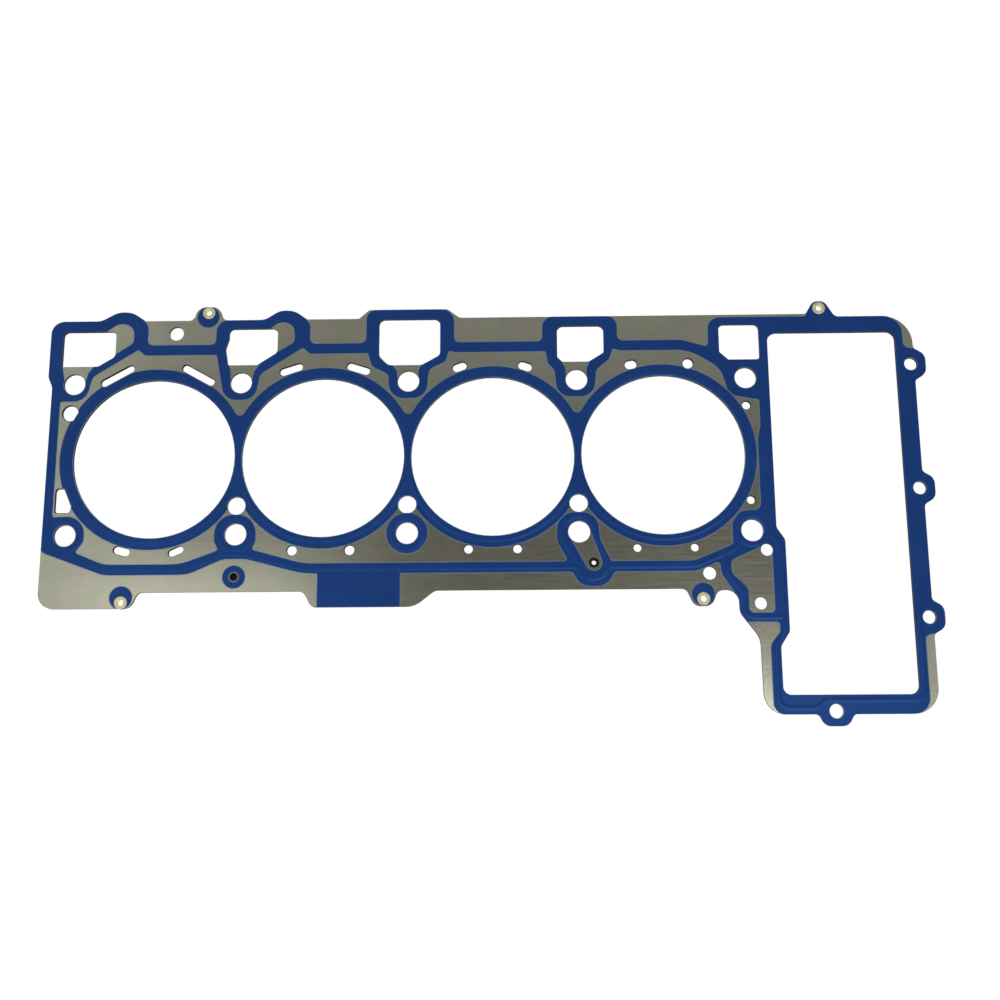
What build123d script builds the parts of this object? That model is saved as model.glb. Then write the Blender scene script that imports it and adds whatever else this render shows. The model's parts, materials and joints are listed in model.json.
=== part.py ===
from build123d import *
import math
import os

# Cylinder head gasket for one bank of an eight-cylinder engine: two beaded steel sheets with a
# plain carrier sheet between them, held by eyelets, with printed elastomer seals on both faces.
# Millimetres. The origin is the centre of the bore nearest the timing window, on the plane that
# the gasket lies on. +X points to the timing window, +Y to the inlet side and +Z up.

# Bores, head bolts and oil transfer holes
bore_count = 4
bore_pitch = 98.0
bore_bridge = 4.2
bolt_row = 45.0
bolt_hole_radius = 6.25
transfer_row = 28.4
transfer_radius = 5.2

# Sheets
active_thickness = 0.25
carrier_thickness = 1.5
throttle = 0.3

# Beads pressed into the active sheets
bead_width = 3.2
bead_height = 0.28
bead_offset = 0.15
bolt_bead = 9.1
right_bead = 8.4
loop_bead = 9.0
bead_rise = 8.4

# Seals
coat_thickness = 0.12
coat_gap = 0.3
ring_width = 6.6
ring_clearance = 0.5
ring_notch = 3.0
end_widening = 1.2
bolt_ring_width = 5.4
rail_width = 6.0
rail_bottom = 62.4
strip_width = 5.8
strip_top = -62.1
margin_width = 5.2
pad_radius = 6.4
pad_clearance = 0.15

# Outer edges of the sheets
side_share = 0.97
top_edge = 83.6
frame_rise = 5.4
bottom_edge = -77.9
tab_drop = 9.1
left_edge = 13.1
port_edge = 15.7
sill_width = 4.55

# Timing window, its cover bolts and its edges, from the last bolt column
window_left = 13.6
window_right = 87.8
window_top = 72.2
window_bottom = -137.3
leg_top = -102.5
pocket_bottom = -91.9
pocket_strip = 4.9
cover_edge = 98.0
cover_top = 81.8
cover_foot = -148.0
cover_bolt_x = 96.0
cover_bolt_y = -21.3
cover_bolt_pitch = 73.6
cover_bolt_radius = 3.7
foot_bolt_x = 41.5
foot_bolt_y = -146.3
lobe_height = 6.6

# Eyelets and the blind rivet
eyelet_barrel = 2.6
eyelet_bore = 1.8
eyelet_flange = 3.65
flange_height = 0.5
rivet_flange = 3.3
rivet_recess = 2.1
rivet_floor = 0.6
rivet_y = -69.5
restrictor_x = 8.0
restrictor_y = -62.8
restrictor_radius = 2.9
restrictor_bore = 1.3

bore_radius = (bore_pitch - bore_bridge) / 2
bore_x = [-bore_pitch * n for n in range(bore_count)]
ring_x = [*bore_x, bore_x[-1] - end_widening]
column = [bore_pitch * (n - bore_count + 0.5) for n in range(bore_count + 1)]
left, second, third, fourth, right = column
cover_bolt_rows = [cover_bolt_y + cover_bolt_pitch * n for n in (1, 0, -1)]
loop_bottom = bolt_row - bolt_hole_radius - 4.0
ring_top = -bolt_row + bolt_hole_radius + bolt_ring_width
margin_inside = margin_width - left_edge
rail_top = rail_bottom + rail_width
strip_bottom = strip_top - strip_width
strip_middle = (strip_top + strip_bottom) / 2
frame_edge = top_edge + frame_rise
tab_edge = bottom_edge - tab_drop
port_sill = bolt_row + bolt_hole_radius + sill_width

underside = flange_height
carrier_level = underside + active_thickness
upper_level = carrier_level + carrier_thickness
upper_face = upper_level + active_thickness

eyelets = [
    (second - 20.6, frame_edge - 0.7),
    (right + 44.7, frame_edge - 1.9),
    (left + 34.3, tab_edge + 3.3),
    (right - 29.0, tab_edge + 3.3),
]
pads = [
    (second - 20.8, frame_edge - 3.3),
    (left + 34.3, tab_edge + 6.1),
    (right - 29.1, tab_edge + 5.8),
]


def rounded_edges(corners):
    """Straight sides with each corner (x, y, radius) rounded as far as its sides allow."""
    points = [Vector(x, y) for x, y, radius in corners]
    count = len(points)
    sides = [points[(n + 1) % count] - points[n] for n in range(count)]
    half_turns = [math.radians(sides[n - 1].get_angle(sides[n])) / 2 for n in range(count)]
    cuts = [corner[2] * math.tan(turn) for corner, turn in zip(corners, half_turns)]
    room = [sides[n].length * side_share / max(cuts[n] + cuts[(n + 1) % count], 0.001) for n in range(count)]
    cuts = [cuts[n] * min(1, room[n - 1], room[n]) for n in range(count)]
    edges = []
    for n, point in enumerate(points):
        back = -sides[n - 1].normalized()
        ahead = sides[n].normalized()
        if cuts[n] > 0:
            reach = cuts[n] * (1 / math.sin(half_turns[n]) - 1 / math.tan(half_turns[n]))
            middle = point + (back + ahead).normalized() * reach
            edges.append(ThreePointArc(point + back * cuts[n], middle, point + ahead * cuts[n]))
        beyond = (n + 1) % count
        edges.append(Line(point + ahead * cuts[n], points[beyond] - ahead * cuts[beyond]))
    return edges


def rounded(corners):
    """Face inside the rounded corners."""
    return make_face(rounded_edges(corners))


def rounded_path(corners):
    """Open path through the rounded corners, from the first to the last."""
    return Wire(rounded_edges(corners)[:-1])


def beside(x, corners):
    """The same corners, given from the line at x."""
    return [(x + dx, y, radius) for dx, y, radius in corners]


def disc(x, y, radius):
    return Pos(x, y) * Circle(radius)


def slot(x, y, length, width, angle):
    return Pos(x, y) * Rot(0, 0, angle) * SlotOverall(length, width)


# Outline of the sheets

def lobe_corners(y):
    """Ear for a cover bolt on the right edge, from the top down."""
    return [
        (cover_edge, y + 9.6, 3),
        (cover_edge + lobe_height, y + 5.8, 5.8),
        (cover_edge + lobe_height, y - 5.8, 5.8),
        (cover_edge, y - 9.6, 3),
    ]


def sheet_outline():
    port_side = beside(left, [
        (-port_edge, top_edge + 0.2, 7.5),
        (13.7, top_edge + 0.2, 10),
        (23.2, frame_edge + 0.2, 12),
        (31.8, frame_edge + 0.2, 12),
        (40.0, top_edge, 2),
    ]) + beside(second, [
        (-29.4, top_edge, 4),
        (-27.0, frame_edge + 3.0, 6.1),
        (-14.4, frame_edge + 3.0, 6.1),
        (-11.9, top_edge, 4),
        (12.7, top_edge, 10),
        (21.5, frame_edge + 0.2, 10),
        (30.0, frame_edge + 0.2, 12),
        (37.8, top_edge, 2),
    ]) + beside(third, [
        (-29.6, top_edge, 2.5),
        (-23.5, frame_edge, 3),
        (22.7, frame_edge, 3),
        (29.8, top_edge, 4),
    ]) + beside(right, [
        (36.9, top_edge, 2),
        (41.4, frame_edge + 2.3, 4.6),
        (48.0, frame_edge + 2.3, 4.6),
        (53.8, cover_top, 4),
    ])
    ears = [corner for y in cover_bolt_rows for corner in lobe_corners(y)]
    cover_side = beside(right, [
        (cover_edge, cover_top, 17),
        *ears,
        (cover_edge, cover_foot, 14),
        (foot_bolt_x + 9.6, cover_foot, 3),
        (foot_bolt_x + 6.4, cover_foot - 6.5, 5.8),
        (foot_bolt_x - 6.4, cover_foot - 6.5, 5.8),
        (foot_bolt_x - 9.6, cover_foot, 3),
        (2.3, cover_foot, 12),
        (1.8, tab_edge - 19.0, 12),
        (-9.0, tab_edge - 4.5, 8),
        (-9.1, bottom_edge - 0.9, 7),
        (-20.8, bottom_edge - 0.9, 5),
        (-24.2, tab_edge - 0.8, 5.4),
        (-34.2, tab_edge - 0.8, 5.4),
        (-38.5, bottom_edge, 4),
    ])
    exhaust_side = beside(third, [
        (16.0, bottom_edge, 6),
        (4.5, tab_edge, 14),
        (-53.6, tab_edge, 4),
        (-58.4, bottom_edge, 5),
    ]) + beside(left, [
        (43.8, bottom_edge, 4),
        (39.6, tab_edge, 5.8),
        (-left_edge, tab_edge, 9),
        (-left_edge, 43.6, 7),
        (-port_edge, 49.4, 7),
    ])
    return rounded(port_side + cover_side + exhaust_side)


# Openings through the stack

def ports():
    return [
        rounded(beside(left, [
            (-8.3, top_edge - 6.3, 3),
            (23.0, top_edge - 6.3, 3),
            (23.0, port_sill + 6.0, 3),
            (13.2, port_sill, 3),
            (-8.3, port_sill, 1),
        ])),
        rounded(beside(second, [
            (-8.1, top_edge - 5.4, 3),
            (20.7, top_edge - 5.4, 3.5),
            (20.7, port_sill + 7.5, 3),
            (9.0, port_sill, 3),
            (-8.3, port_sill, 1.5),
            (-10.0, port_sill + 10.2, 4),
            (-8.1, port_sill + 16.2, 3),
        ])),
        rounded(beside(third, [
            (-17.5, top_edge - 0.6, 3.5),
            (18.4, top_edge - 0.6, 3.5),
            (18.4, port_sill + 5.0, 3),
            (7.7, port_sill - 1, 3),
            (-12.0, port_sill - 1, 5),
            (-17.5, port_sill + 4.7, 5),
        ])),
        rounded(beside(fourth, [
            (-11.0, top_edge - 5.8, 3.5),
            (16.2, top_edge - 5.8, 3.5),
            (16.2, port_sill + 5.5, 2.5),
            (7.4, port_sill, 2),
            (-8.0, port_sill, 2),
            (-11.0, port_sill + 2.7, 2),
        ])),
        rounded(beside(right, [
            (-14.5, top_edge - 6.0, 3.2),
            (8.9, top_edge - 6.0, 3.2),
            (8.9, port_sill + 0.3, 2.2),
            (-9.4, port_sill + 0.3, 1.5),
            (-14.5, port_sill + 5.0, 2),
        ])),
    ]


def timing_window():
    return rounded(beside(right, [
        (window_left, window_top, 5.5),
        (window_right, window_top, 5),
        (window_right, window_bottom, 5),
        (window_left - 0.7, window_bottom, 4.5),
        (window_left - 0.7, leg_top - 8.0, 5),
        (window_left + 4.6, leg_top, 4),
        (window_left + 4.6, -bolt_row - 5.5, 5),
        (window_left, -bolt_row + 1.5, 5),
    ]))


def coolant_passages(shrink):
    """Coolant holes round the bores, each narrower by shrink all round."""
    above = bore_radius + 6.4
    below = -bore_radius - 7.7
    first, mid, next_mid, last = bore_x
    squeeze = 2 * shrink
    holes = [
        slot(first - 17.3, above + 0.4, 7.6 - squeeze, 5.8 - squeeze, 10),
        disc(first + 15.9, above + 0.7, 3.3 - shrink),
        disc(right - 0.2, transfer_row, 2.7 - shrink),
        disc(right, -transfer_row + 0.9, 2.6 - shrink),
        disc(left - 1.3, transfer_row - 0.9, 4.9 - shrink) - disc(last, 0, bore_radius + ring_width),
        slot(last - 15.8, below + 0.3, 10.2 - squeeze, 5.0 - squeeze, -15),
        slot(last + 15.4, below, 9.6 - squeeze, 4.6 - squeeze, 24),
        rounded(beside(left, [
            (-7.0 + shrink, -17.3 - shrink, 2),
            (-1.9 - shrink / 2, -17.3 - shrink, 0.8),
            (2.8 - shrink, -28.0, 1),
            (2.2 - shrink, -32.0 + shrink, 1.5),
            (-7.0 + shrink, -32.0 + shrink, 1.8),
        ])),
    ]
    for side in (-1, 1):
        holes += [
            slot(mid + side * 19.1, above, 8.9 - squeeze, 5.4 - squeeze, -side * 20),
            slot(next_mid + side * 19.7, above - 0.5, 14.4 - squeeze, 5.0 - squeeze, -side * 18),
            slot(last + side * 23.8, above - 3.4, 22.0 - squeeze, 4.8 - squeeze, -side * 29.5),
            disc(first + side * 16.2, below, 2.4 - shrink / 2),
            disc(mid + side * 13.9, below, 2.8 - shrink),
            disc(next_mid + side * 16.4, below, 3.1 - shrink),
        ]
    return holes


def bolt_holes(growth=0):
    """Head bolt, cover bolt, dowel and drain holes, each wider by growth all round."""
    holes = [disc(x, y, bolt_hole_radius + growth) for x in column for y in (-bolt_row, bolt_row)]
    holes += [disc(x, -transfer_row, transfer_radius) for x in (second, third, fourth)]
    holes += [disc(right + cover_bolt_x, y, cover_bolt_radius + growth) for y in cover_bolt_rows]
    holes += [
        disc(right + foot_bolt_x, foot_bolt_y, 3.9 + growth),
        disc(second - 39.3, top_edge - 8.0, 4.2),
        disc(right - 25.0, bottom_edge + 8.6, 3.7),
        disc(right + 7.7, -bolt_row - 11.2, 3.5),
        disc(right + 3.0, pocket_bottom + 5.4, 3.5),
    ]
    return holes


def sheet_face(shrink, oil_radius):
    """One sheet with every opening; the sheet under the restrictor has the small oil hole."""
    openings = [disc(x, 0, bore_radius) for x in bore_x]
    openings += bolt_holes() + ports() + coolant_passages(shrink) + [timing_window()]
    openings += [disc(x, y, eyelet_barrel) for x, y in eyelets]
    openings.append(disc(second, rivet_y, eyelet_barrel))
    openings.append(disc(fourth + restrictor_x, restrictor_y, oil_radius))
    return sheet_outline() - openings


# Bare steel areas, where no seal is printed

def bare_between_frames():
    """Steel above the upper rail, between the port frames, out past the sheet's edge."""
    beyond = frame_edge + 9
    return [
        rounded([
            (second - 5, beyond, 0),
            (second - 5, top_edge, 0),
            (second - 15.6, top_edge, 7),
            (second - 15.6, rail_top, 3.4),
            (left + 41.8, rail_top, 3.4),
            (left + 41.8, top_edge - 3.1, 6),
            (left + 38.5, top_edge + 0.6, 0),
            (left + 38.5, beyond, 0),
        ]),
        rounded([
            (third - 13, beyond, 0),
            (third - 13, frame_edge, 0),
            (third - 25, frame_edge, 6),
            (third - 25, rail_top, 3.6),
            (second + 39.7, rail_top, 3.6),
            (second + 39.7, top_edge - 3.1, 6),
            (second + 36.5, top_edge + 0.6, 0),
            (second + 36.5, beyond, 0),
        ]),
        rounded([
            (fourth - 6, beyond, 0),
            (fourth - 6, top_edge, 0),
            (fourth - 19.6, top_edge, 6.5),
            (fourth - 19.6, rail_top, 3),
            (third + 26.5, rail_top, 3.2),
            (third + 26.5, frame_edge, 8),
            (third + 15, frame_edge, 0),
            (third + 15, beyond, 0),
        ]),
        rounded([
            (right + 39.0, beyond, 0),
            (right + 36.7, cover_top + 0.2, 1),
            (right - 20.6, cover_top + 0.2, 7),
            (right - 20.8, rail_bottom + 1.8, 2),
            (right - 24.0, rail_bottom + 2.4, 0),
            (right - 36.0, rail_top, 20),
            (fourth + 24.1, rail_top, 3.5),
            (fourth + 24.1, top_edge, 6.5),
            (fourth + 13, top_edge, 0),
            (fourth + 13, beyond, 0),
        ]),
    ]


def bare_at_ports():
    """Steel beside the two humped ports and on the sills between ports and bolts."""
    return [
        rounded(beside(left, [
            (16.5, top_edge - 6.6, 0),
            (23.5, top_edge - 1.7, 6),
            (33.6, top_edge - 1.7, 6.5),
            (33.6, port_sill + 14.2, 4),
            (22.5, port_sill + 7.0, 0),
            (20.0, port_sill + 8.7, 0),
        ])),
        rounded(beside(second, [
            (15.0, top_edge - 6.1, 0),
            (21.0, top_edge - 1.7, 6),
            (30.7, top_edge - 1.7, 6.5),
            (30.7, port_sill + 13.7, 4),
            (20.2, port_sill + 7.5, 0),
            (18.0, port_sill + 10.2, 0),
        ])),
        rounded(beside(left, [
            (-8.2, port_sill + 1, 0),
            (11.5, port_sill + 1, 0),
            (7.8, bolt_row + 6.5, 3),
            (6.1, bolt_row, 0),
            (-5.8, bolt_row, 0),
            (-7.2, bolt_row + 7.5, 0),
        ])),
        rounded(beside(second, [
            (-8.0, port_sill + 1, 0),
            (11.0, port_sill + 1, 0),
            (7.6, bolt_row + 7.0, 3),
            (6.0, bolt_row, 0),
            (-6.0, bolt_row, 0),
            (-6.5, bolt_row + 7.0, 0),
        ])),
        rounded(beside(third, [
            (-10.4, port_sill, 0),
            (7.8, port_sill, 0),
            (5.8, bolt_row + 6.0, 0),
            (5.8, bolt_row, 0),
            (-6.0, bolt_row, 0),
            (-6.9, bolt_row + 6.5, 0),
        ])),
        rounded(beside(fourth, [
            (-9.2, port_sill + 1, 0),
            (8.0, port_sill + 1, 0),
            (6.0, bolt_row + 6.5, 0),
            (5.8, bolt_row, 0),
            (-6.0, bolt_row, 0),
            (-6.5, bolt_row + 7.0, 0),
        ])),
    ]


def bare_round_bores():
    """Steel between the bore rings and the rails, from the left margin round to the left margin."""
    return rounded(beside(left, [
        (margin_inside, loop_bottom, 1.5),
        (7.0, loop_bottom, 8.5),
        (10.4, bolt_row + 4.5, 6),
        (36.5, rail_bottom + 3.5, 1.5),
        (41.0, rail_bottom, 3),
    ]) + beside(second, [
        (-14.9, rail_bottom, 1.2),
        (-9.6, loop_bottom, 8.5),
        (8.2, loop_bottom, 8),
        (11.0, bolt_row + 5.2, 6),
        (35.7, rail_bottom + 3.8, 1.5),
        (40.0, rail_bottom, 3),
    ]) + beside(third, [
        (-23.8, rail_bottom, 1.5),
        (-21.6, bolt_row + 9.4, 6),
        (-11.8, bolt_row + 4.3, 3),
        (-11.0, loop_bottom, 9),
        (10.4, loop_bottom, 8.5),
        (11.8, bolt_row + 7.2, 5.5),
        (21.7, bolt_row + 11.9, 4),
        (23.4, rail_bottom + 1.0, 1.2),
        (27.5, rail_bottom, 2),
    ]) + beside(fourth, [
        (-17.9, rail_bottom, 1.2),
        (-16.3, bolt_row + 9.6, 4),
        (-12.6, bolt_row + 6.0, 4),
        (-11.3, loop_bottom, 8.5),
        (10.1, loop_bottom, 8.5),
        (11.4, bolt_row + 5.8, 5),
        (19.2, bolt_row + 12.3, 3.5),
        (21.3, rail_bottom + 1.4, 1.2),
        (25.5, rail_bottom, 2),
    ]) + beside(right, [
        (-32.5, rail_bottom, 24),
        (-14.2, bolt_row + 6.2, 15),
        (-9.8, loop_bottom + 0.2, 6),
        (7.4, loop_bottom - 3.0, 1.2),
        (7.3, 16.0, 6),
        (5.5, 8.0, 6),
        (5.5, ring_top + 0.4, 4),
        (-6.5, ring_top - 0.6, 5),
        (-11.2, ring_top - 7.1, 6),
        (-11.2, -bolt_row - 7.9, 1.8),
        (-33.2, strip_top, 12),
    ]) + beside(fourth, [
        (17.8, strip_top, 1.5),
        (11.7, -bolt_row - 4.5, 8),
        (10.4, ring_top - 0.5, 9),
        (-12.6, ring_top - 0.5, 10),
        (-12.6, -bolt_row - 5.5, 9),
        (-6.4, strip_top, 1.5),
    ]) + beside(second, [
        (39.0, strip_top, 35),
        (9.4, -bolt_row - 8.9, 1.5),
        (11.6, -bolt_row - 4.0, 3),
        (11.6, ring_top - 0.2, 11),
        (-12.0, ring_top - 0.2, 11),
        (-12.0, -bolt_row - 3.8, 3),
        (-9.4, -bolt_row - 9.2, 1.5),
        (-31.0, strip_top, 30),
    ]) + beside(left, [
        (23.5, strip_top, 20),
        (6.2, -bolt_row - 9.9, 1.5),
        (11.0, -bolt_row - 3.5, 4),
        (11.0, ring_top - 0.2, 10.5),
        (margin_inside, ring_top - 1.0, 1.5),
    ]))


def bare_along_foot():
    """Steel below the lower strip, out past the sheet's edge, with the label patch left between."""
    beyond = tab_edge - 10
    return [
        rounded([
            (left - 17.0, -bolt_row - 3.0, 0),
            (left - 12.2, -bolt_row - 9.6, 7),
            (left + 23.5, strip_bottom, 18),
            (second - 26.5, strip_bottom, 24),
            (second - 6.5, strip_bottom + 8.8, 12),
            (second + 6.5, strip_bottom + 8.8, 20),
            (second + 39.0, strip_bottom + 0.2, 45),
            (second + 47.6, strip_bottom + 0.2, 1.2),
            (second + 47.6, beyond, 0),
            (left - 17.0, beyond, 0),
        ]),
        rounded([
            (third - 3.7, strip_bottom, 0),
            (fourth - 4.2, strip_bottom, 2),
            (fourth + 0.5, strip_bottom - 8.2, 9),
            (fourth + 14.9, strip_bottom - 8.2, 9),
            (fourth + 19.7, strip_bottom, 2.5),
            (right - 32.5, strip_bottom, 10),
            (right - 19.2, strip_top - 0.3, 1.8),
            (right - 18.1, strip_bottom - 2.1, 6),
            (right - 11.5, bottom_edge - 2.1, 0),
            (right - 10.5, bottom_edge - 7.1, 0),
            (right - 10.5, beyond, 0),
            (third - 3.7, beyond, 0),
        ]),
    ]


def bare_round_window():
    """Steel pocket beside the timing window, and the slivers outside the window's frame."""
    return [
        rounded(beside(right, [
            (5.0, -bolt_row - 9.1, 0),
            (7.7, -bolt_row - 11.2, 0),
            (window_left - 2.9, -bolt_row - 12.5, 0),
            (window_left - 2.9, pocket_bottom, 2.5),
            (-3.8, pocket_bottom, 3),
            (-3.8, bottom_edge + 0.1, 6),
            (-12.8, strip_bottom - 1.6, 6),
            (-12.8, strip_top + 0.2, 4),
        ])),
        rounded(beside(right, [
            (-9.0, pocket_bottom - pocket_strip, 0),
            (window_left - 0.7, pocket_bottom - pocket_strip, 2),
            (window_left - 0.7, leg_top, 3),
            (window_left - 6.3, leg_top - 7.0, 6),
            (window_left - 6.3, cover_foot, 6.5),
            (20.0, cover_foot, 0),
            (20.0, cover_foot - 5, 0),
            (-9.0, cover_foot - 5, 0),
        ])),
        rounded(beside(right, [
            (80.0, cover_top + 5, 0),
            (84.0, cover_top, 0),
            (92.2, cover_top - 5.0, 10),
            (92.2, cover_bolt_rows[0] + 10.3, 3.5),
            (cover_edge + 2.2, cover_bolt_rows[0] + 8.9, 0),
            (cover_edge + 2.2, cover_top + 5, 0),
        ])),
        rounded(beside(right, [
            (cover_edge + 2.0, cover_bolt_rows[-1] - 8.7, 0),
            (92.9, cover_bolt_rows[-1] - 10.3, 3),
            (92.9, cover_foot, 9),
            (83.0, cover_foot, 0),
            (83.0, cover_foot - 6, 0),
            (cover_edge + 2.0, cover_foot - 6, 0),
        ])),
    ]


def bare_at_restrictor():
    """Steel bay that joins the bolt hole to the oil restrictor inside the loop."""
    bolt = disc(fourth, -bolt_row, bolt_hole_radius)
    oil = disc(fourth + restrictor_x, restrictor_y, restrictor_radius + 1.9)
    return make_hull([*bolt.edges(), *oil.edges()])


# Printed seals

def perimeter_seal():
    bare = bare_between_frames() + bare_at_ports() + bare_along_foot() + bare_round_window()
    bare += [bare_round_bores(), bare_at_restrictor()]
    bare += ports() + bolt_holes(coat_gap) + [timing_window()]
    bare += [disc(x, 0, bore_radius + ring_width + ring_clearance) for x in ring_x]
    bare += [disc(x, y, eyelet_flange + pad_clearance) for x, y in eyelets]
    seal = sheet_outline() - bare
    return seal.faces().sort_by(SortBy.AREA)[-1]


def bore_seal():
    """The four bore rings, joined at the bridges, with rounded notches between them."""
    outer = bore_radius + ring_width
    rings = disc(ring_x[0], 0, outer)
    for x in ring_x[1:]:
        rings += disc(x, 0, outer)
    notch_x = bore_pitch / 2
    notch_y = math.sqrt((outer + ring_notch) ** 2 - notch_x ** 2)
    touch_x = notch_x * ring_notch / (outer + ring_notch)
    for x in (second, third, fourth):
        for side in (-1, 1):
            web = Pos(x, side * notch_y / 2) * Rectangle(2 * touch_x, notch_y)
            rings += web - disc(x, side * notch_y, ring_notch)
    cuts = [disc(x, 0, bore_radius + coat_gap) for x in bore_x]
    cuts += [disc(x, -transfer_row, transfer_radius + coat_gap) for x in (second, third, fourth)]
    cuts += coolant_passages(-coat_gap)
    return (rings - cuts).faces().sort_by(SortBy.AREA)[-1]


def round_print(x, y, radius, opening):
    return disc(x, y, radius) - disc(x, y, opening)


def eyelet_pad(x, y):
    """Round print beside an eyelet, cut off at the sheet's edge."""
    pad = disc(x, y, pad_radius) & sheet_outline()
    pad -= [disc(a, b, eyelet_flange + pad_clearance) for a, b in eyelets]
    return pad.faces().sort_by(SortBy.AREA)[-1]


# Beads

def bead_section(level):
    """Section of a bead that stands up from the given level."""
    foot = Line((-bead_width / 2, level), (bead_width / 2, level))
    crown = ThreePointArc((bead_width / 2, level), (0, level + bead_height), (-bead_width / 2, level))
    return make_face([foot, crown])


def ring_bead(x, y, radius, level):
    section = Plane.XZ * Pos(radius, 0) * bead_section(level)
    return Pos(x, y, 0) * revolve(section, Axis.Z)


def path_bead(path, level):
    across = Plane(origin=path @ 0, x_dir=Vector(0, 0, 1).cross(path % 0), z_dir=path % 0)
    return sweep(across * bead_section(level), path=path)


def bore_beads(level):
    """Rings round the bores, each cut off where it meets its neighbour at the bridge."""
    beads = []
    for n, x in enumerate(bore_x):
        low = bore_pitch if n == bore_count - 1 else bore_pitch / 2
        high = bore_pitch if n == 0 else bore_pitch / 2
        room = Pos(x + (high - low) / 2, 0, level) * Box(high + low, 2 * bore_pitch, 2 * bead_width)
        beads.append(ring_bead(x, 0, bore_pitch / 2 + bead_offset, level) & room)
    return beads


def middle_bead(level):
    return [ring_bead(third, -bolt_row, bolt_bead, level)]


def strip_beads(level):
    """Beads of the lower strips, the restrictor's loop, the pocket and the window's frame."""
    margin = margin_inside - margin_width / 2
    lower_strip = beside(left, [
        (margin, 30.0, 0),
        (margin, -bolt_row - 5.5, 8),
        (23.5, strip_middle, 18),
    ]) + beside(second, [
        (-28.5, strip_middle, 26),
        (-5.5, strip_middle + bead_rise, 13),
        (5.5, strip_middle + bead_rise, 20),
        (39.0, strip_middle, 40),
    ]) + beside(fourth, [
        (restrictor_x - loop_bead, strip_middle, 0),
    ])
    right_strip = beside(fourth, [
        (restrictor_x + loop_bead, strip_middle, 0),
    ]) + beside(right, [
        (-33.0, strip_middle, 12),
        (-11.0, -bolt_row - 11.0, 10),
        (-6.4, -bolt_row - 5.3, 0),
    ])
    pocket = beside(right, [
        (-16.0, strip_top + 3.7, 0),
        (-15.5, strip_bottom - 2.1, 7),
        (-6.5, bottom_edge - 1.6, 7),
        (-6.5, pocket_bottom - pocket_strip / 2, 6),
        (window_left + 1.0, pocket_bottom - pocket_strip / 2, 0),
    ])
    frame = beside(right, [
        (right_bead, -bolt_row - 1.0, 0),
        (window_left + 1.6, -bolt_row - 9.0, 6),
        (window_left + 1.6, leg_top + 0.7, 7),
        (window_left - 3.5, leg_top - 7.7, 7),
        (window_left - 3.5, window_bottom - 7.2, 6),
        (foot_bolt_x - 10.5, window_bottom - 7.2, 5),
        (foot_bolt_x - 5.5, window_bottom - 3.0, 5),
        (window_right + 2.5, window_bottom - 3.0, 5),
        (window_right + 2.5, cover_bolt_rows[-1] + 8.0, 0),
    ])
    bolt_loop = beside(fourth, [
        (-bolt_bead, -bolt_row, 0),
        (-bolt_bead, bolt_bead - bolt_row, bolt_bead),
        (bolt_bead, bolt_bead - bolt_row, bolt_bead),
        (bolt_bead, -bolt_row, 0),
    ])
    restrictor_loop = beside(fourth, [
        (-bolt_bead, -bolt_row, 0),
        (-bolt_bead, -bolt_row - 4.0, 9),
        (restrictor_x - loop_bead, strip_top + 0.5, 10),
        (restrictor_x - loop_bead, restrictor_y - loop_bead, 8.5),
        (restrictor_x + loop_bead, restrictor_y - loop_bead, 8.5),
        (restrictor_x + loop_bead - 1.7, restrictor_y + 2.0, 7),
        (bolt_bead, -bolt_row - 2.6, 7),
        (bolt_bead, -bolt_row, 0),
    ])
    routes = (lower_strip, right_strip, pocket, frame, bolt_loop, restrictor_loop)
    rings = [ring_bead(x, -bolt_row, bolt_bead, level) for x in (left, second)]
    rings.append(ring_bead(right, -bolt_row, right_bead, level))
    return rings + [path_bead(rounded_path(corners), level) for corners in routes]


# Solids

def active_sheet():
    """Beaded sheet with its beads upwards, from its lower face at level 0."""
    sheet = extrude(sheet_face(0, restrictor_radius), active_thickness)
    for beads in (bore_beads, middle_bead, strip_beads):
        sheet = sheet + beads(active_thickness) - beads(0)
    return sheet


def printed(face, beads=None):
    """Seal on a sheet face at level 0, following the beads that it covers."""
    seal = extrude(face, coat_thickness)
    if beads:
        seal = seal + beads(coat_thickness) - beads(0)
    return seal


def seals():
    """Each printed island by name."""
    bolt_opening = bolt_hole_radius + coat_gap
    rivet_opening = rivet_flange + pad_clearance
    bolt_print = round_print(third, -bolt_row, bolt_hole_radius + bolt_ring_width, bolt_opening)
    islands = {
        "perimeter_seal": printed(perimeter_seal(), strip_beads),
        "bore_seal": printed(bore_seal(), bore_beads),
        "bolt_ring": printed(bolt_print, middle_bead),
        "rivet_ring": printed(round_print(second, rivet_y, pad_radius, rivet_opening)),
    }
    for n, (x, y) in enumerate(pads, 1):
        islands[f"eyelet_pad_{n}"] = printed(eyelet_pad(x, y))
    return islands


def turned_over(shape, level):
    """The shape mirrored downwards, with its level 0 at the given level."""
    return Pos(0, 0, level) * mirror(shape, Plane.XY)


def eyelet():
    """Brass tube with a rolled flange at each end."""
    top = upper_face + flange_height
    roll = flange_height * 0.6
    section = Polyline(
        (eyelet_bore, 0, roll),
        (eyelet_bore + roll, 0, 0),
        (eyelet_flange - roll, 0, 0),
        (eyelet_flange, 0, roll),
        (eyelet_flange, 0, underside),
        (eyelet_barrel, 0, underside),
        (eyelet_barrel, 0, upper_face),
        (eyelet_flange, 0, upper_face),
        (eyelet_flange, 0, top - roll),
        (eyelet_flange - roll, 0, top),
        (eyelet_bore + roll, 0, top),
        (eyelet_bore, 0, top - roll),
        close=True,
    )
    return revolve(make_face(section), Axis.Z)


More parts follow.
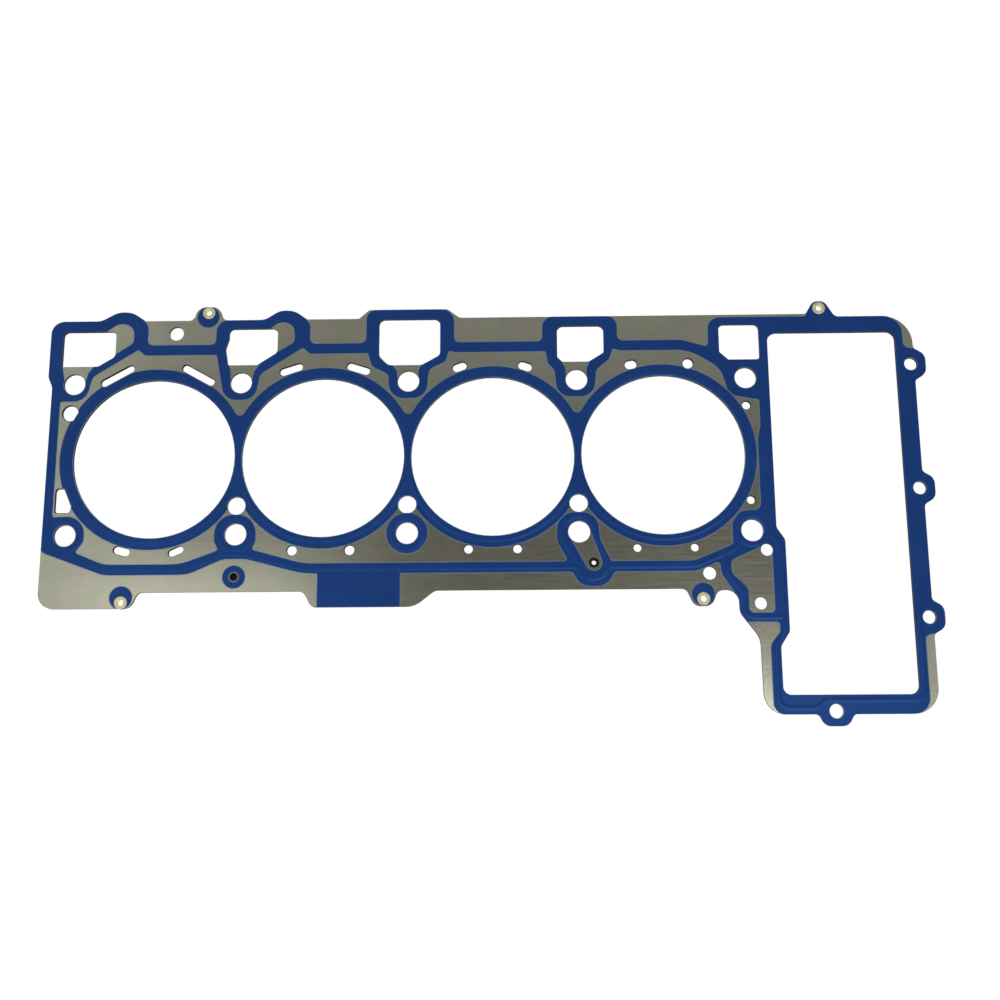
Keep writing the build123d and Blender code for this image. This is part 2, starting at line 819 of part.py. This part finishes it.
def blind_rivet():
    """Steel rivet with a recess in its head and a closed foot."""
    top = upper_face + flange_height
    section = Polyline(
        (0, 0, 0),
        (rivet_flange, 0, 0),
        (rivet_flange, 0, underside),
        (eyelet_barrel, 0, underside),
        (eyelet_barrel, 0, upper_face),
        (rivet_flange, 0, upper_face),
        (rivet_flange, 0, top - flange_height / 2),
        (rivet_recess + flange_height / 2, 0, top),
        (rivet_recess, 0, top - flange_height / 2),
        (rivet_recess, 0, rivet_floor),
        (0, 0, rivet_floor),
        close=True,
    )
    return revolve(make_face(section), Axis.Z)


def build():
    """Every piece of the gasket, by node name."""
    beaded = active_sheet()
    pieces = {
        "upper_active_sheet": Pos(0, 0, upper_level) * beaded,
        "carrier_sheet": Pos(0, 0, carrier_level)
        * extrude(sheet_face(throttle, restrictor_bore), carrier_thickness),
        "lower_active_sheet": turned_over(beaded, carrier_level),
        "blind_rivet": Pos(second, rivet_y, 0) * blind_rivet(),
    }
    for name, seal in seals().items():
        pieces[f"upper_{name}"] = Pos(0, 0, upper_face) * seal
        pieces[f"lower_{name}"] = turned_over(seal, underside)
    for n, (x, y) in enumerate(eyelets, 1):
        pieces[f"eyelet_{n}"] = Pos(x, y, 0) * eyelet()
    return pieces


os.makedirs("parts", exist_ok=True)
for name, piece in build().items():
    piece.label = name
    export_step(piece, f"parts/{name}.step")
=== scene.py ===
import json

import bpy
from mathutils import Matrix, Vector

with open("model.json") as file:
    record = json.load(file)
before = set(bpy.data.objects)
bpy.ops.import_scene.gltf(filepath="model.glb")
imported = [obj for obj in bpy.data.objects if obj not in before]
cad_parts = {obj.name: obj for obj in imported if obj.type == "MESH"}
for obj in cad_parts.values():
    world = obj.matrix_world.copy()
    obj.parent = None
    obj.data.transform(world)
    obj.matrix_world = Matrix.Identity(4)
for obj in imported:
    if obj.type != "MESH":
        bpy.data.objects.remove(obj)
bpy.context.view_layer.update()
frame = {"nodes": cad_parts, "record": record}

# A layered steel cylinder head gasket lying on a pale studio table, seen from above.
# Metres. +X runs along the bores to the timing window, +Y to the port side, +Z up.
# Colours are linear red, green and blue.

# Camera, as it stood for the reference view
camera_place = Vector((-0.0815, -0.1704, 0.6989))
camera_look = Vector((-0.01744, 0.20260, -0.97911))
camera_up = Vector((0.0087, 0.97925, 0.20248))
camera_lens = 44.83
camera_sensor = 36.0
camera_near = 0.01

# Rolled spring steel: its two tones, the tints that drift over them, and the near-black painted
# shade on its upright walls, over the real darker sheared edge
steel_dark = (0.40, 0.405, 0.315)
steel_light = (0.48, 0.485, 0.385)
steel_warm = (1.05, 0.98, 1.02)
steel_cool = (0.96, 1.02, 0.96)
steel_wall_shade = (0.02, 0.018, 0.016)
rolling_stretch = (12, 300, 300)

# The thin film that runs out beside a print
film_colour = (0.194, 0.277, 0.388)
film_reach = 0.0016
film_gain = 30.0
film_samples = 12

# Carrier sheet, seen only at its sheared walls, painted near-black: painted shade
carrier_wall_shade_dark = (0.012, 0.010, 0.009)
carrier_wall_shade_light = (0.026, 0.023, 0.020)

# Blue elastomer print
print_dark = (0.010, 0.0428, 0.186)
print_light = (0.0128, 0.0516, 0.221)
# Darker blue of the print's upright walls: painted shade
print_wall_shade = (0.0084, 0.029, 0.108)
print_gloss = (0.14, 0.36, 1.0, 1)

# Brass eyelets
brass_dull = (0.66, 0.62, 0.32)
brass_bright = (0.84, 0.80, 0.46)

# Rivet: a pale rim over a hollow painted near-black as shade, with heights below the rim
rivet_pale = (0.20, 0.22, 0.25)
rivet_hollow_shade = (0.006, 0.006, 0.005)
hollow_drop = 0.00025
rim_drop = 0.0001

# Where most values of a noise texture lie
noise_low = 0.3
noise_high = 0.7

# Share of a face's normal that points up: below the first it is a wall, above the second it is flat
wall_level = 0.5
flat_level = 0.8

surface_grain = 0.00001

# Table and backdrop
table_size = 16.0
table_drop = 0.0001
table_colour = (0.9, 0.9, 0.9, 1)
backdrop_radius = 6.0
backdrop_height = 3.2
backdrop_middle = 1.5
backdrop_sides = 96
glow_strength = 1.08
glow_share = 0.9

# Lamps all face this point of the gasket
lamp_aim = Vector((-0.1, 0, 0))
world_level = 0.145


def node_tree(owner):
    """Empty node tree of a material or of the world."""
    owner.use_nodes = True
    tree = owner.node_tree
    tree.nodes.clear()
    return tree


def add_node(tree, kind, **settings):
    node = tree.nodes.new(kind)
    for name, value in settings.items():
        setattr(node, name, value)
    return node


def plug(tree, source, target):
    tree.links.new(source, target)


def feed(tree, value, target):
    """A plain number is set on the socket, and anything else is plugged into it."""
    if isinstance(value, float):
        target.default_value = value
    else:
        plug(tree, value, target)


def calculate(tree, operation, first, second, clamp=False):
    node = add_node(tree, "ShaderNodeMath", operation=operation, use_clamp=clamp)
    feed(tree, first, node.inputs[0])
    feed(tree, second, node.inputs[1])
    return node.outputs["Value"]


def object_pattern(tree, stretch=(1, 1, 1)):
    """Object coordinates, scaled along each axis."""
    coordinates = add_node(tree, "ShaderNodeTexCoord")
    mapping = add_node(tree, "ShaderNodeMapping")
    mapping.inputs["Scale"].default_value = stretch
    plug(tree, coordinates.outputs["Object"], mapping.inputs["Vector"])
    return mapping.outputs["Vector"]


def noise(tree, vector, scale, detail, roughness=0.5):
    texture = add_node(tree, "ShaderNodeTexNoise")
    texture.inputs["Scale"].default_value = scale
    texture.inputs["Detail"].default_value = detail
    texture.inputs["Roughness"].default_value = roughness
    plug(tree, vector, texture.inputs["Vector"])
    return texture.outputs["Fac"]


def colour_band(tree, fac, low, high, start=noise_low, end=noise_high):
    ramp = add_node(tree, "ShaderNodeValToRGB")
    ramp.color_ramp.elements[0].position = start
    ramp.color_ramp.elements[0].color = (*low, 1)
    ramp.color_ramp.elements[1].position = end
    ramp.color_ramp.elements[1].color = (*high, 1)
    plug(tree, fac, ramp.inputs["Fac"])
    return ramp.outputs["Color"]


def value_band(tree, fac, low, high, start=noise_low, end=noise_high):
    ranged = add_node(tree, "ShaderNodeMapRange")
    ranged.inputs["From Min"].default_value = start
    ranged.inputs["From Max"].default_value = end
    ranged.inputs["To Min"].default_value = low
    ranged.inputs["To Max"].default_value = high
    plug(tree, fac, ranged.inputs["Value"])
    return ranged.outputs["Result"]


def plain_colour(tree, colour):
    tone = add_node(tree, "ShaderNodeRGB")
    tone.outputs["Color"].default_value = (*colour, 1)
    return tone.outputs["Color"]


def blend_colours(tree, fac, first, second, mode="MIX"):
    mix = add_node(tree, "ShaderNodeMix", data_type="RGBA", blend_type=mode)
    feed(tree, fac, mix.inputs["Factor"])
    plug(tree, first, mix.inputs["A"])
    plug(tree, second, mix.inputs["B"])
    return mix.outputs["Result"]


def bumped(tree, height, strength):
    bump = add_node(tree, "ShaderNodeBump")
    bump.inputs["Distance"].default_value = surface_grain
    bump.inputs["Strength"].default_value = strength
    plug(tree, height, bump.inputs["Height"])
    return bump.outputs["Normal"]


def up_part(tree, vector):
    parts = add_node(tree, "ShaderNodeSeparateXYZ")
    plug(tree, vector, parts.inputs["Vector"])
    return parts.outputs["Z"]


def upright_share(tree):
    """1 on upright walls, 0 on faces that lie flat or slope gently."""
    geometry = add_node(tree, "ShaderNodeNewGeometry")
    level = add_node(tree, "ShaderNodeMath", operation="ABSOLUTE")
    plug(tree, up_part(tree, geometry.outputs["True Normal"]), level.inputs[0])
    return value_band(tree, level.outputs["Value"], 1.0, 0.0, wall_level, flat_level)


def print_margin(tree):
    """1 right beside the step of a print, fading out over the film's reach."""
    corner = add_node(tree, "ShaderNodeAmbientOcclusion", samples=film_samples)
    corner.inputs["Distance"].default_value = film_reach
    shade = calculate(tree, "SUBTRACT", 1.0, corner.outputs["AO"])
    return calculate(tree, "MULTIPLY", shade, film_gain, clamp=True)


def finished(tree, shader):
    output = add_node(tree, "ShaderNodeOutputMaterial")
    plug(tree, shader.outputs["BSDF"], output.inputs["Surface"])


def rolled_steel():
    """Cold rolled sheet: streaks along the rolling direction, soft mottling, upright walls painted
    near-black as shade over the real darker sheared edge, and a thin film where a print ends."""
    material = bpy.data.materials.new("spring_steel_sheet")
    tree = node_tree(material)
    shader = add_node(tree, "ShaderNodeBsdfPrincipled")
    rolling = object_pattern(tree, rolling_stretch)
    streaks = noise(tree, rolling, scale=6.0, detail=4.0, roughness=0.6)
    mottling = noise(tree, object_pattern(tree), scale=60.0, detail=4.0, roughness=0.6)
    tints = noise(tree, object_pattern(tree), scale=95.0, detail=3.0)
    colour = blend_colours(
        tree,
        0.5,
        colour_band(tree, streaks, steel_dark, steel_light),
        colour_band(tree, mottling, steel_dark, steel_light),
    )
    tinted = colour_band(tree, tints, steel_warm, steel_cool, start=0.35, end=0.65)
    colour = blend_colours(tree, 1.0, colour, tinted, "MULTIPLY")
    margin = print_margin(tree)
    colour = blend_colours(tree, margin, colour, plain_colour(tree, film_colour))
    # Upright walls go near-black: painted shade, over the real darker sheared edge
    edge = upright_share(tree)
    colour = blend_colours(tree, edge, colour, plain_colour(tree, steel_wall_shade))
    plug(tree, colour, shader.inputs["Base Color"])
    covered = calculate(tree, "MAXIMUM", margin, edge)
    plug(tree, calculate(tree, "SUBTRACT", 1.0, covered), shader.inputs["Metallic"])
    shader.inputs["Specular IOR Level"].default_value = 0.1
    plug(tree, value_band(tree, streaks, 0.19, 0.26), shader.inputs["Roughness"])
    plug(tree, bumped(tree, streaks, strength=0.5), shader.inputs["Normal"])
    finished(tree, shader)
    return material


def shaded_carrier_walls():
    """Sheet seen only at its sheared walls, painted near-black as the shade that falls there; dull.
    """
    material = bpy.data.materials.new("carrier_walls_painted_shade")
    tree = node_tree(material)
    shader = add_node(tree, "ShaderNodeBsdfPrincipled")
    grain = noise(tree, object_pattern(tree), scale=900.0, detail=3.0)
    # Near-black colour of the carrier walls: painted shade
    colour = colour_band(tree, grain, carrier_wall_shade_dark, carrier_wall_shade_light)
    plug(tree, colour, shader.inputs["Base Color"])
    shader.inputs["Roughness"].default_value = 0.7
    shader.inputs["Specular IOR Level"].default_value = 0.08
    finished(tree, shader)
    return material


def hollow_rivet(rim):
    """Pale rolled rim round a hollow painted near-black as the shade inside it, told apart by
    height.
    """
    material = bpy.data.materials.new("rivet_steel")
    tree = node_tree(material)
    shader = add_node(tree, "ShaderNodeBsdfPrincipled")
    coordinates = add_node(tree, "ShaderNodeTexCoord")
    height = up_part(tree, coordinates.outputs["Object"])
    share = value_band(tree, height, 0.0, 1.0, rim - hollow_drop, rim - rim_drop)
    # The hollow's near-black is painted shade inside the rivet's recess
    dark = plain_colour(tree, rivet_hollow_shade)
    pale = plain_colour(tree, rivet_pale)
    plug(tree, blend_colours(tree, share, dark, pale), shader.inputs["Base Color"])
    shader.inputs["Specular IOR Level"].default_value = 0.15
    shader.inputs["Roughness"].default_value = 0.55
    finished(tree, shader)
    return material


def blue_print():
    """Screen-printed blue elastomer: satin, very slightly uneven."""
    material = bpy.data.materials.new("blue_printed_elastomer")
    tree = node_tree(material)
    shader = add_node(tree, "ShaderNodeBsdfPrincipled")
    clouds = noise(tree, object_pattern(tree), scale=30.0, detail=3.0)
    grain = noise(tree, object_pattern(tree), scale=1800.0, detail=2.0)
    colour = colour_band(tree, clouds, print_dark, print_light)
    # Upright walls of the print take a darker blue: painted shade
    colour = blend_colours(tree, upright_share(tree), colour, plain_colour(tree, print_wall_shade))
    plug(tree, colour, shader.inputs["Base Color"])
    shader.inputs["Specular IOR Level"].default_value = 0.75
    shader.inputs["Specular Tint"].default_value = print_gloss
    plug(tree, value_band(tree, grain, 0.32, 0.38), shader.inputs["Roughness"])
    plug(tree, bumped(tree, grain, strength=0.4), shader.inputs["Normal"])
    finished(tree, shader)
    return material


def pressed_brass():
    """Pressed brass with slight wear."""
    material = bpy.data.materials.new("pressed_brass")
    tree = node_tree(material)
    shader = add_node(tree, "ShaderNodeBsdfPrincipled")
    wear = noise(tree, object_pattern(tree), scale=500.0, detail=3.0)
    plug(tree, colour_band(tree, wear, brass_dull, brass_bright), shader.inputs["Base Color"])
    shader.inputs["Metallic"].default_value = 0.45
    plug(tree, value_band(tree, wear, 0.3, 0.42), shader.inputs["Roughness"])
    plug(tree, bumped(tree, wear, strength=0.3), shader.inputs["Normal"])
    finished(tree, shader)
    return material


def dress_nodes():
    """Gives every frame node the material of its slot."""
    rivet_rim = max(corner[2] for corner in frame["nodes"]["blind_rivet"].bound_box)
    finishes = {
        "spring_steel": rolled_steel(),
        "carrier_steel": shaded_carrier_walls(),
        "blue_elastomer": blue_print(),
        "eyelet_brass": pressed_brass(),
        "rivet_steel": hollow_rivet(rivet_rim),
    }
    slots = {part["node"]: part["material_slot"] for part in frame["record"]["subparts"]}
    for name, node in frame["nodes"].items():
        node.data.materials.clear()
        node.data.materials.append(finishes[slots[name]])


def background_rays(tree):
    """1 for rays that show the background, straight, mirrored or through glass."""
    rays = add_node(tree, "ShaderNodeLightPath")
    shown = rays.outputs["Is Camera Ray"]
    for ray in ("Is Glossy Ray", "Is Transmission Ray"):
        shown = calculate(tree, "MAXIMUM", shown, rays.outputs[ray])
    return shown


def pale_table():
    """Shows white as a background and still takes a soft shadow."""
    material = bpy.data.materials.new("pale_table")
    tree = node_tree(material)
    diffuse = add_node(tree, "ShaderNodeBsdfDiffuse")
    diffuse.inputs["Color"].default_value = table_colour
    glow = add_node(tree, "ShaderNodeEmission")
    glow.inputs["Strength"].default_value = glow_strength
    mix = add_node(tree, "ShaderNodeMixShader")
    share = calculate(tree, "MULTIPLY", background_rays(tree), glow_share)
    plug(tree, share, mix.inputs["Fac"])
    plug(tree, diffuse.outputs["BSDF"], mix.inputs[1])
    plug(tree, glow.outputs["Emission"], mix.inputs[2])
    output = add_node(tree, "ShaderNodeOutputMaterial")
    plug(tree, mix.outputs["Shader"], output.inputs["Surface"])
    return material


def studio_room():
    """Table just under the gasket, with a round backdrop far behind it."""
    bpy.ops.mesh.primitive_plane_add(size=table_size, location=(0, 0, -table_drop))
    floor = bpy.context.object
    floor.name = "studio_floor"
    bpy.ops.mesh.primitive_cylinder_add(
        vertices=backdrop_sides,
        radius=backdrop_radius,
        depth=backdrop_height,
        end_fill_type="NOTHING",
        location=(0, 0, backdrop_middle),
    )
    backdrop = bpy.context.object
    backdrop.name = "studio_backdrop"
    material = pale_table()
    for piece in (floor, backdrop):
        piece.data.materials.append(material)


def soft_light(name, place, size, power):
    """Softbox of a width and a height in metres and a power in watts."""
    lamp = bpy.data.lights.new(name, "AREA")
    lamp.shape = "RECTANGLE"
    lamp.size = size[0]
    lamp.size_y = size[1]
    lamp.energy = power
    light = bpy.data.objects.new(name, lamp)
    bpy.context.collection.objects.link(light)
    light.location = place
    light.rotation_euler = (lamp_aim - Vector(place)).to_track_quat("-Z", "Y").to_euler()


def studio_lights():
    world = bpy.data.worlds.new("studio")
    bpy.context.scene.world = world
    tree = node_tree(world)
    background = add_node(tree, "ShaderNodeBackground")
    background.inputs["Color"].default_value = (1, 1, 1, 1)
    background.inputs["Strength"].default_value = world_level
    output = add_node(tree, "ShaderNodeOutputWorld")
    plug(tree, background.outputs["Background"], output.inputs["Surface"])
    soft_light("left_softbox", place=(-0.90, -0.05, 1.2), size=(0.75, 0.5), power=0.58)
    soft_light("left_inner_softbox", place=(-0.55, -0.05, 1.2), size=(0.3, 0.35), power=0.50)
    soft_light("left_rear_softbox", place=(-0.95, 0.45, 1.2), size=(0.6, 0.4), power=0.27)
    soft_light("right_softbox", place=(0.5, -0.33, 1.2), size=(0.8, 0.45), power=0.60)
    soft_light("right_inner_softbox", place=(0.25, -0.3, 1.2), size=(0.35, 0.4), power=1.50)
    soft_light("rear_softbox", place=(-0.1, 0.5, 1.2), size=(1.8, 0.3), power=0.34)
    soft_light("rear_low_softbox", place=(-0.1, 0.76, 1.05), size=(1.8, 0.18), power=1.5)
    soft_light("front_key", place=(-0.1, -0.5, 0.55), size=(1.4, 0.5), power=3.5)


def camera():
    lens = bpy.data.cameras.new("camera")
    lens.lens = camera_lens
    lens.sensor_width = camera_sensor
    lens.clip_start = camera_near
    eye = bpy.data.objects.new("camera", lens)
    bpy.context.collection.objects.link(eye)
    turn = Matrix((camera_look.cross(camera_up), camera_up, -camera_look)).transposed()
    eye.matrix_world = Matrix.Translation(camera_place) @ turn.to_4x4()
    bpy.context.scene.camera = eye


camera()
dress_nodes()
studio_room()
studio_lights()
bpy.context.scene.view_settings.view_transform = "Standard"
